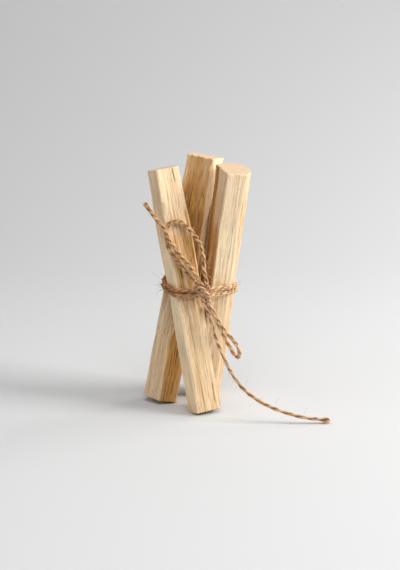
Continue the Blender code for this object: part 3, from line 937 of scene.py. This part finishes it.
def crack_depths(marks, heights, sides, shares, widths_across, seed):
    """Return how deep the cracks cut at each point, in mm."""
    depth = np.zeros((len(heights), len(sides)))
    for number, (side, across_at, start, end, width, deep) in enumerate(marks["cracks"]):
        crack_seed = seed + 31 * number
        drift = across_at + 0.05 * wander(heights, crack_seed, 12.0)
        drift += 0.012 * wander(heights, crack_seed + 1, 2.0)
        open_by = window(heights, start, start + CRACK_OPENING, end - CRACK_CLOSING, end)
        open_by = open_by * (0.75 + 0.25 * wander(heights, crack_seed + 2, 1.8))
        off = (shares[None, :] - drift[:, None]) * widths_across[:, sides]
        valley = np.clip(1.0 - np.abs(off) / width, 0.0, 1.0) * (sides == side)[None, :]
        depth = np.maximum(depth, deep * valley * open_by[:, None])
    return depth


def patch_strengths(patches, heights, sides, shares):
    """Return how strongly each point lies in one of the patches."""
    strengths = np.zeros((len(heights), len(sides)))
    for side, left, right, start, end, strength in patches:
        upright = window(
            heights, start - PATCH_FADE, start + PATCH_FADE, end - PATCH_FADE, end + PATCH_FADE,
        )
        level = window(shares, left - 0.09, left + 0.05, right - 0.05, right + 0.09)
        strengths = np.maximum(strengths, strength * upright[:, None] * (level * (sides == side))[None, :])
    return strengths


def stick_points(name, settings):
    """Return a stick's ring points in its own frame in mm, and the values that its material reads."""
    stick, marks = STICKS[name], MARKS[name]
    seed = 1000 * (1 + list(STICKS).index(name))
    length = stick_length(stick)
    wear = settings.arris_wear / MM
    heights = ring_heights(length, settings.along_step / MM, wear)
    arrises = rough_arrises(stick, heights, length, seed)
    widths = arris_widths(marks, heights, arrises.shape[1], wear, seed)
    flat, facing, sides, shares = outline_rings(arrises, widths, settings.around_step / MM)
    side_widths = np.linalg.norm(np.roll(arrises, -1, axis=1) - arrises, axis=2)
    places = np.concatenate([flat, np.broadcast_to(heights[:, None, None], (*flat.shape[:2], 1))], axis=2)
    cracks = crack_depths(marks, heights, sides, shares, side_widths, seed)
    values = {
        label: patch_strengths(marks[label], heights, sides, shares)
        for label in ("stain", "weather", "clean")
    }
    # Painted shade in the cracks.
    values["hollow"] = np.clip(cracks / DARK_DEPTH, 0.0, 1.0)
    # A painted highlight on the arrises.
    values["edge"] = np.broadcast_to((shares == 0.0) | (shares == 1.0), cracks.shape).astype(float)

    # The relief, the worn ends and the sides that swell towards the head.
    relief = split_relief(places, settings.relief / MM, seed) - cracks
    round_off = np.clip(1.0 - np.minimum(heights, length - heights) / wear, 0.0, 1.0)
    inset = wear * 0.8 * (1.0 - np.sqrt(1.0 - round_off ** 2))
    swelling = np.array([marks["swelling"].get(side, 0.0) for side in sides])
    swelling = swelling * (4.0 * shares * (1.0 - shares))
    swells_from, swells_to = (share * length for share in SWELLING)
    relief = relief + swelling[None, :] * smooth_step(heights, swells_from, swells_to)[:, None]
    places[..., :2] += facing * (relief - inset[:, None])[..., None]

    # Torn fibres stand up along the ragged edges of the sawn ends.
    around = np.cumsum(np.linalg.norm(np.diff(flat[-1], axis=0, append=flat[-1][:1]), axis=1))
    tear = sum(amount * wander(around, seed + step, scale) for amount, scale, step in RIM_TEARS)
    ragged = np.array([marks["ragged"].get(side, 0.0) for side in sides])
    torn = np.clip(wander(around, seed + 7, 0.55), -0.6, 1.0) + 0.6 * wander(around, seed + 8, 0.22)
    tear = tear + ragged * torn
    places[..., 2] += smooth_step(heights, length - HEAD_TEAR, length)[:, None] * tear[None, :]
    places[..., 2] -= smooth_step(-heights, -FOOT_TEAR, 0.0)[:, None] * tear[::-1][None, :] * 0.4
    return places, values, seed


def sawn_end(ring, seed, direction):
    """Return the rings that close a sawn end, from its rim inwards, and its middle."""
    middle = ring.mean(axis=0)
    rings = []
    for share in END_RINGS:
        inner = middle + (ring - middle) * share
        level = middle[2] + (ring[:, 2] - middle[2]) * max(0.0, 1.0 - (1.0 - share) * 14.0)
        rough = sum(
            amount * lattice_noise(inner / size, seed + step) for amount, size, step in SAWN_ROUGHNESS
        )
        inner[:, 2] = level + direction * (0.03 + rough)
        rings.append(inner)
    return rings, middle


def stick_mesh(name, settings):
    """Build the mesh of a stick around its rings, with the values that its material reads."""
    sides, values, seed = stick_points(name, settings)
    head_rings, head_middle = sawn_end(sides[-1], seed, 1.0)
    foot_rings, foot_middle = sawn_end(sides[0], seed + 50, -1.0)
    rings = [*foot_rings[::-1], *sides, *head_rings]
    count = sides.shape[1]
    points = np.concatenate([*rings, [foot_middle], [head_middle]])
    start, size = len(foot_rings) * count, len(sides) * count
    values["sawn"] = np.zeros(size)
    values["sawn"][:2 * count] = values["sawn"][-2 * count:] = 1.0

    index = np.arange(count)
    after = (index + 1) % count
    faces = []
    for base in range(0, (len(rings) - 1) * count, count):
        above = base + count
        faces += np.stack([base + index, base + after, above + after, above + index], axis=1).tolist()
    foot, head, last = len(points) - 2, len(points) - 1, (len(rings) - 1) * count
    faces += [(foot, int(j), int(i)) for i, j in zip(index, after)]
    faces += [(head, int(last + i), int(last + j)) for i, j in zip(index, after)]

    data = bpy.data.meshes.new(name)
    data.from_pydata((points * MM).tolist(), [], faces)
    grain_place = data.attributes.new("grain_place", "FLOAT_VECTOR", "POINT")
    grain_place.data.foreach_set("vector", (points * MM).ravel())
    for label, value in values.items():
        everywhere = np.full(len(points), 1.0 if label == "sawn" else 0.0)
        everywhere[start:start + size] = value.ravel()
        data.attributes.new(label, "FLOAT", "POINT").data.foreach_set("value", everywhere)
    return data


def stand_on_surface(data, placing):
    """Place a stick's mesh and cut its worn toe off level with the surface that it stands on."""
    mesh = bmesh.new()
    mesh.from_mesh(data)
    scale = Matrix.Diagonal((MM, MM, MM, 1.0))
    mesh.transform(scale @ placing @ scale.inverted())
    everything = mesh.verts[:] + mesh.edges[:] + mesh.faces[:]
    cut = bmesh.ops.bisect_plane(
        mesh, geom=everything, plane_co=(0.0, 0.0, 0.0), plane_no=(0.0, 0.0, -1.0), clear_outer=True,
    )
    rim = [piece for piece in cut["geom_cut"] if isinstance(piece, bmesh.types.BMEdge)]
    bmesh.ops.contextual_create(mesh, geom=rim)
    bmesh.ops.recalc_face_normals(mesh, faces=mesh.faces[:])
    mesh.to_mesh(data)
    mesh.free()
    data.shade_smooth()


# Twine. Sizes are in millimetres: the steps of the routes, the radii, how far the middle of the wrap lies
# from the wood, and the lengths of a tail's swollen end and of its rounded tip.

ROUTE_STEP = 0.4
KNOT_STEP = 0.3
WRAP_RADIUS = 0.88
KNOT_RADIUS = 0.85
WRAP_REACH = 0.72
SWOLLEN_LENGTH = 3.0
TIP_LENGTH = 1.1
UP = Vector((0.0, 0.0, 1.0))


def smooth_route(points, spacing):
    """Return evenly spaced points on a smooth curve through the given ones (Catmull-Rom), in mm."""
    points = [Vector(point) for point in points]
    ends = [2 * points[0] - points[1], *points, 2 * points[-1] - points[-2]]
    fine = [points[0]]
    for before, start, finish, after in zip(ends, ends[1:], ends[2:], ends[3:]):
        for t in (step / 16 for step in range(1, 17)):
            fine.append(0.5 * (2 * start + (finish - before) * t
                               + (2 * before - 5 * start + 4 * finish - after) * t * t
                               + (3 * start - before - 3 * finish + after) * t ** 3))
    lengths = [0.0]
    for start, finish in zip(fine, fine[1:]):
        lengths.append(lengths[-1] + (finish - start).length)
    count = max(2, round(lengths[-1] / spacing))
    route = []
    index = 0
    for number in range(count + 1):
        wanted = lengths[-1] * number / count
        while index < len(fine) - 2 and lengths[index + 1] < wanted:
            index += 1
        share = (wanted - lengths[index]) / (lengths[index + 1] - lengths[index])
        route.append(fine[index].lerp(fine[index + 1], share))
    return route


def route_length(route):
    """Return the length of a route."""
    return sum((finish - start).length for start, finish in zip(route, route[1:]))


def arris_lines(stick):
    """Return the arrises of a stick, each as a line of points in mm."""
    placing, length = stick_frame(stick), stick_length(stick)
    return zip(*(
        [placing @ Vector((right, deep, place * length)) for right, deep in section]
        for place, section in zip(SECTION_PLACES, stick["sections"])
    ))


def arris_at_turn(line, height):
    """Return the place where an arris passes through the sloping plane of a turn of twine."""
    above = [point.z - height - TURN_SLOPE * point.x for point in line]
    for start, finish, low, high in zip(line, line[1:], above, above[1:]):
        if low <= 0.0 < high:
            return start.lerp(finish, -low / (high - low)).to_2d()
    raise ValueError("an arris does not reach the twine")


def outer_outline(places):
    """Return the corners of the tight string around the places, anticlockwise from above."""
    ordered = sorted(places, key=lambda place: (place.x, place.y))
    halves = []
    for run in (ordered, ordered[::-1]):
        half = []
        for place in run:
            while len(half) > 1 and (half[-1] - half[-2]).cross(place - half[-1]) <= 0.0:
                half.pop()
            half.append(place)
        halves += half[:-1]
    return halves


def strand_around(corners):
    """Return the middle of a strand pulled around the corners."""
    strand = []
    for before, corner, after in zip(corners[-1:] + corners, corners, corners[1:] + corners[:1]):
        ways = corner - before, after - corner
        first, last = (way.to_3d().cross(UP).to_2d().normalized() for way in ways)
        steps = max(1, math.ceil(first.angle(last) / math.radians(12)))
        strand += [corner + first.slerp(last, step / steps) * WRAP_REACH for step in range(steps + 1)]
    filled = []
    for start, finish in zip(strand, strand[1:] + strand[:1]):
        pieces = max(1, round((finish - start).length / 1.6))
        filled += [start.lerp(finish, piece / pieces) for piece in range(pieces)]
    return filled


def turn_of_twine(height):
    """Return one turn from the knot's right, around the back, to the knot's left, and the rest."""
    places = [arris_at_turn(line, height) for stick in STICKS.values() for line in arris_lines(stick)]
    strand = strand_around(outer_outline(places))

    def nearest(side):
        """Return which place at the front lies nearest to a side."""
        off = [abs(place.x - side) if place.y < 0.0 else math.inf for place in strand]
        return off.index(min(off))

    start = nearest(UNDER_KNOT_RIGHT)
    strand = strand[start:] + strand[:start]
    end = nearest(UNDER_KNOT_LEFT)
    return strand[:end + 1], strand[end + 1:]


def wrap_route():
    """Return the middle of the twine's two turns around the three sticks."""
    upper, lower = TURN_HEIGHTS
    around, under = turn_of_twine(upper)
    raised = [(place, upper) for place in around]
    for index, place in enumerate(under):
        raised.append((place, upper + (lower - upper) * (index + 1) / (len(under) + 1)))
    raised += [(place, lower) for place in turn_of_twine(lower)[0]]
    route = [place.to_3d() + UP * (height + TURN_SLOPE * place.x) for place, height in raised]
    return smooth_route(route, ROUTE_STEP)


# The first strand of the knot is a little thinner. A stray fibre thins to a share of its radius at its
# tip, and is pale. A cord's seed is its number.
FIRST_STRAND_SWELL = 0.85
STRAY_TIP = 0.4
STRAY_TONE = 0.8
HAIR_SEED, WRAP_SEED, KNOT_SEED = 5, 11, 21


def link(name, data):
    """Make an object of some data and put it in the scene."""
    thing = bpy.data.objects.new(name, data)
    bpy.context.collection.objects.link(thing)
    return thing


def route_curve(name, routes, swells=None):
    """Make a curve object through routes given in mm, with the swell of each point."""
    curve = bpy.data.curves.new(name, "CURVE")
    curve.dimensions = "3D"
    for number, route in enumerate(routes):
        spline = curve.splines.new("POLY")
        spline.points.add(len(route) - 1)
        for index, (point, place) in enumerate(zip(spline.points, route)):
            point.co = (*(place * MM), 1.0)
            point.radius = swells[number][index] if swells else 1.0
    return link(name, curve)


def plain_piece(name, source):
    """Keep what a curve object has become as a plain mesh object, and remove the curve."""
    data = bpy.data.meshes.new_from_object(source.evaluated_get(bpy.context.evaluated_depsgraph_get()))
    data.name = name
    piece = link(name, data)
    source.modifiers.clear()
    curve = source.data
    bpy.data.objects.remove(source, do_unlink=True)
    bpy.data.curves.remove(curve)
    return piece


def grow(name, group_name, routes, swells=None, **inputs):
    """Run a group over routes, and keep the result as a plain mesh object with the given name."""
    inputs = {label.replace("_", " "): value for label, value in inputs.items()}
    source = route_curve(name + "_route", routes, swells)
    modifier = source.modifiers.new(group_name, "NODES")
    modifier.node_group = group(group_name)
    for item in modifier.node_group.interface.items_tree:
        if item.item_type == "SOCKET" and item.in_out == "INPUT" and item.name in inputs:
            modifier[item.identifier] = inputs[item.name]
    return plain_piece(name, source)


def twine(name, routes, radius, lay_length, seed, tone=0.0, swells=None):
    """Lay twine of a radius given in mm along routes, and return it as a plain mesh object."""
    settings = bpy.context.scene.palo_twine
    return grow(
        name, "laid twine", routes, swells, Twine_Radius=radius * MM, Plies=settings.plies,
        Lay_Length=lay_length, Fibres=settings.fibres, Fibre_Radius=settings.fibre_radius, Tone=tone,
        Seed=seed, Material=jute(),
    )


def end_swells(route, swell):
    """Return the swell along a route: 1, then the knotted end, which closes to a blunt tip."""
    total, gone = route_length(route), 0.0
    swells = []
    for index, place in enumerate(route):
        if index:
            gone += (place - route[index - 1]).length
        left = total - gone
        swells.append(1.0)
        if swell > 1.0 and left < SWOLLEN_LENGTH:
            rise = float(smooth_step(np.array(SWOLLEN_LENGTH - left), 0.0, TIP_LENGTH))
            tip = math.sqrt(max(0.02, 1.0 - max(0.0, 1.0 - left / TIP_LENGTH) ** 2))
            swells[-1] = (1.0 + (swell - 1.0) * rise) * tip
    return swells


def keep(piece, node=None):
    """Let a finished piece ride on the bundle and stand for its node."""
    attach(piece, "root")
    if node:
        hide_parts(node)


# The studio. Its paper bends up to walls that rise to PAPER_HEIGHT, in metres.

PAPER_BEND = 0.55
PAPER_HEIGHT = 2.4
PAPER_DEEP = (-1.0, 0.20)
PAPER_WIDE = (-0.8, 0.8)
# The soft lights: the setting of the power, the size, how far they are turned to the right of the camera
# and raised, in degrees, and how far away they stand.
LIGHTS = {
    "key_light": ("key_power", (0.35, 0.25), 77.0, 30.0, 0.9),
    "side_light": ("side_power", (0.2, 0.14), 120.0, 32.0, 0.5),
    "front_light": ("front_power", (0.4, 0.4), 0.0, 62.0, 0.6),
    "top_light": ("top_power", (0.7, 0.7), 60.0, 75.0, 1.0),
    "fill_light": ("fill_power", (0.6, 0.4), -70.0, 30.0, 0.9),
}
WAIST = Vector((0.0, 0.0, 0.05))
CAMERA_PLACE = (0.0015, -0.71935, 0.25573)
CAMERA_TILT = 74.0
CAMERA_LENS = 118.42


def paper_line(start, end):
    """Return the paper's places and heights on a line: flat from start to end, curving up to walls beyond."""
    turns = [math.radians(90 * step / 24) for step in range(1, 25)]
    bend = [(PAPER_BEND * math.sin(turn), PAPER_BEND * (1 - math.cos(turn))) for turn in turns]
    bend.append((PAPER_BEND, PAPER_HEIGHT))
    before = [(start - out_by, high) for out_by, high in reversed(bend)]
    return before + [(start, 0.0), (end, 0.0)] + [(end + out_by, high) for out_by, high in bend]


def soft_light(name, power, size, turn, rise, away):
    """Add a soft light that looks at the waist."""
    data = bpy.data.lights.new(name, "AREA")
    data.energy = power
    data.shape = "RECTANGLE"
    data.size, data.size_y = size
    turn, rise = math.radians(turn), math.radians(rise)
    ray = Vector((math.sin(turn) * math.cos(rise), -math.cos(turn) * math.cos(rise), math.sin(rise)))
    light = link(name, data)
    light.location = WAIST + ray * away
    light.rotation_euler = (-ray).to_track_quat("-Z", "Y").to_euler()


# The operators.


class PALO_OT_studio(bpy.types.Operator):
    """Set up the paper sweep, the soft lights and the camera"""

    bl_idname = "palo.studio"
    bl_label = "Studio"

    def execute(self, context):
        settings = context.scene.palo_studio
        deep_line, side_line = paper_line(*PAPER_DEEP), paper_line(*PAPER_WIDE)
        points = [(side, deep, rise + high) for side, rise in side_line for deep, high in deep_line]
        step = len(deep_line)
        faces = [
            (first, first + step, first + step + 1, first + 1)
            for row in range(len(side_line) - 1) for first in range(row * step, row * step + step - 1)
        ]
        data = bpy.data.meshes.new("paper_sweep")
        data.from_pydata(points, [], faces)
        data.shade_smooth()
        data.materials.append(paper_material(settings))
        link("paper_sweep", data)

        for name, (power, *placing) in LIGHTS.items():
            soft_light(name, getattr(settings, power), *placing)
        world = bpy.data.worlds.new("room")
        world.use_nodes = True
        world.node_tree.nodes["Background"].inputs["Strength"].default_value = 0.0
        context.scene.world = world
        context.scene.view_settings.view_transform = "Standard"

        data = bpy.data.cameras.new("camera")
        data.lens = CAMERA_LENS
        data.sensor_width = 36.0
        camera = link("camera", data)
        camera.location = CAMERA_PLACE
        camera.rotation_euler = (math.radians(CAMERA_TILT), 0.0, 0.0)
        context.scene.camera = camera
        return {"FINISHED"}


class PALO_OT_cords(bpy.types.Operator):
    """Lay the two loops and the two tails of the bow"""

    bl_idname = "palo.cords"
    bl_label = "Loops and tails"

    def execute(self, context):
        lay_length = context.scene.palo_twine.lay_length
        for number, (node, cord) in enumerate(FREE_CORDS.items()):
            route = smooth_route(cord["route"], ROUTE_STEP)
            piece = twine(
                "jute_" + node.removeprefix("twine_"), [route], cord["radius"], lay_length * cord["slack"],
                number + 1, cord["tone"], [end_swells(route, cord["end_swell"])],
            )
            keep(piece, node)
            tuple(route[0] * MM)
            route_length(route) * MM
            2 * cord["radius"] * MM
            [tuple(place * MM) for place in route]
        return {"FINISHED"}


class PALO_OT_wrap(bpy.types.Operator):
    """Wind the two turns of twine around the waist"""

    bl_idname = "palo.wrap"
    bl_label = "Turns around the waist"

    def execute(self, context):
        lay_length = context.scene.palo_twine.wrap_lay_length
        keep(twine("jute_wrap", [wrap_route()], WRAP_RADIUS, lay_length, WRAP_SEED), "twine_wrap")
        return {"FINISHED"}


class PALO_OT_knot(bpy.types.Operator):
    """Tie the knot of the bow over the front"""

    bl_idname = "palo.knot"
    bl_label = "Knot"

    def execute(self, context):
        lay_length = context.scene.palo_twine.wrap_lay_length
        routes = [smooth_route(route, KNOT_STEP) for route in KNOT_ROUTES]
        swells = [[1.0 if number else FIRST_STRAND_SWELL] * len(route) for number, route in enumerate(routes)]
        piece = twine("jute_knot", routes, KNOT_RADIUS, lay_length, KNOT_SEED, swells=swells)
        keep(piece, "twine_knot")
        return {"FINISHED"}


class PALO_OT_hairs(bpy.types.Operator):
    """Grow the loose hairs of jute along all the twine"""

    bl_idname = "palo.hairs"
    bl_label = "Loose hairs"

    def execute(self, context):
        settings = context.scene.palo_twine
        routes = [smooth_route(cord["route"], ROUTE_STEP) for cord in FREE_CORDS.values()]
        routes += [wrap_route()] + [smooth_route(route, ROUTE_STEP) for route in KNOT_ROUTES]
        keep(grow(
            "jute_hairs", "loose hairs", routes, Gap=settings.hair_gap, Longest=settings.hair_length,
            Hair_Radius=settings.hair_radius, Seed=HAIR_SEED, Material=jute(),
        ))

        routes = [smooth_route(route, KNOT_STEP) for route in STRAY_ROUTES]
        tapers = [np.linspace(1.0, STRAY_TIP, len(route)).tolist() for route in routes]
        source = route_curve("jute_strays_route", routes, tapers)
        source.data.bevel_depth = settings.stray_radius
        source.data.bevel_resolution = 1
        source.data.use_fill_caps = True
        piece = plain_piece("jute_strays", source)
        for label in ("fibre_tone", "fibre_depth"):
            values = piece.data.attributes.new(label, "FLOAT", "POINT").data
            values.foreach_set("value", [STRAY_TONE] * len(values))
        piece.data.materials.append(jute())
        keep(piece)
        return {"FINISHED"}


class PALO_OT_sticks(bpy.types.Operator):
    """Split the three sticks and stand them on their feet"""

    bl_idname = "palo.sticks"
    bl_label = "Sticks"

    def execute(self, context):
        settings = context.scene.palo_wood
        for node, stick in STICKS.items():
            data = stick_mesh(node, settings)
            data.name = "split_" + node
            stand_on_surface(data, stick_frame(stick))
            slot = node.replace("stick", "wood")
            data.materials.append(wood_material("split_" + slot, WOODS[node], settings))
            keep(link(data.name, data), node)
        return {"FINISHED"}


class PALO_PT_panel(bpy.types.Panel):
    """Lists the steps that build the tied sticks"""

    bl_idname = "PALO_PT_panel"
    bl_label = "Tied palo santo sticks"
    bl_space_type = "VIEW_3D"
    bl_region_type = "UI"
    bl_category = "Palo santo"

    def draw(self, context):
        for operator in OPERATORS:
            self.layout.operator(operator.bl_idname)
        for name in SETTINGS:
            settings = getattr(context.scene, name)
            column = self.layout.column()
            for setting in settings.__annotations__:
                column.prop(settings, setting)


OPERATORS = (PALO_OT_studio, PALO_OT_cords, PALO_OT_wrap, PALO_OT_knot, PALO_OT_hairs, PALO_OT_sticks)
SETTINGS = {"palo_wood": PALO_PG_wood, "palo_twine": PALO_PG_twine, "palo_studio": PALO_PG_studio}
CLASSES = (*SETTINGS.values(), *OPERATORS, PALO_PT_panel)


def register():
    """Register the settings, the operators and the panel."""
    for item in CLASSES:
        bpy.utils.register_class(item)
    for name, settings in SETTINGS.items():
        setattr(bpy.types.Scene, name, bpy.props.PointerProperty(type=settings))


def unregister():
    """Remove what register added."""
    for name in SETTINGS:
        delattr(bpy.types.Scene, name)
    for item in reversed(CLASSES):
        bpy.utils.unregister_class(item)


def main():
    """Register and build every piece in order."""
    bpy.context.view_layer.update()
    register()
    bpy.ops.palo.studio()
    bpy.ops.palo.cords()
    bpy.ops.palo.wrap()
    bpy.ops.palo.knot()
    bpy.ops.palo.hairs()
    bpy.ops.palo.sticks()


if __name__ == "__main__":
    main()
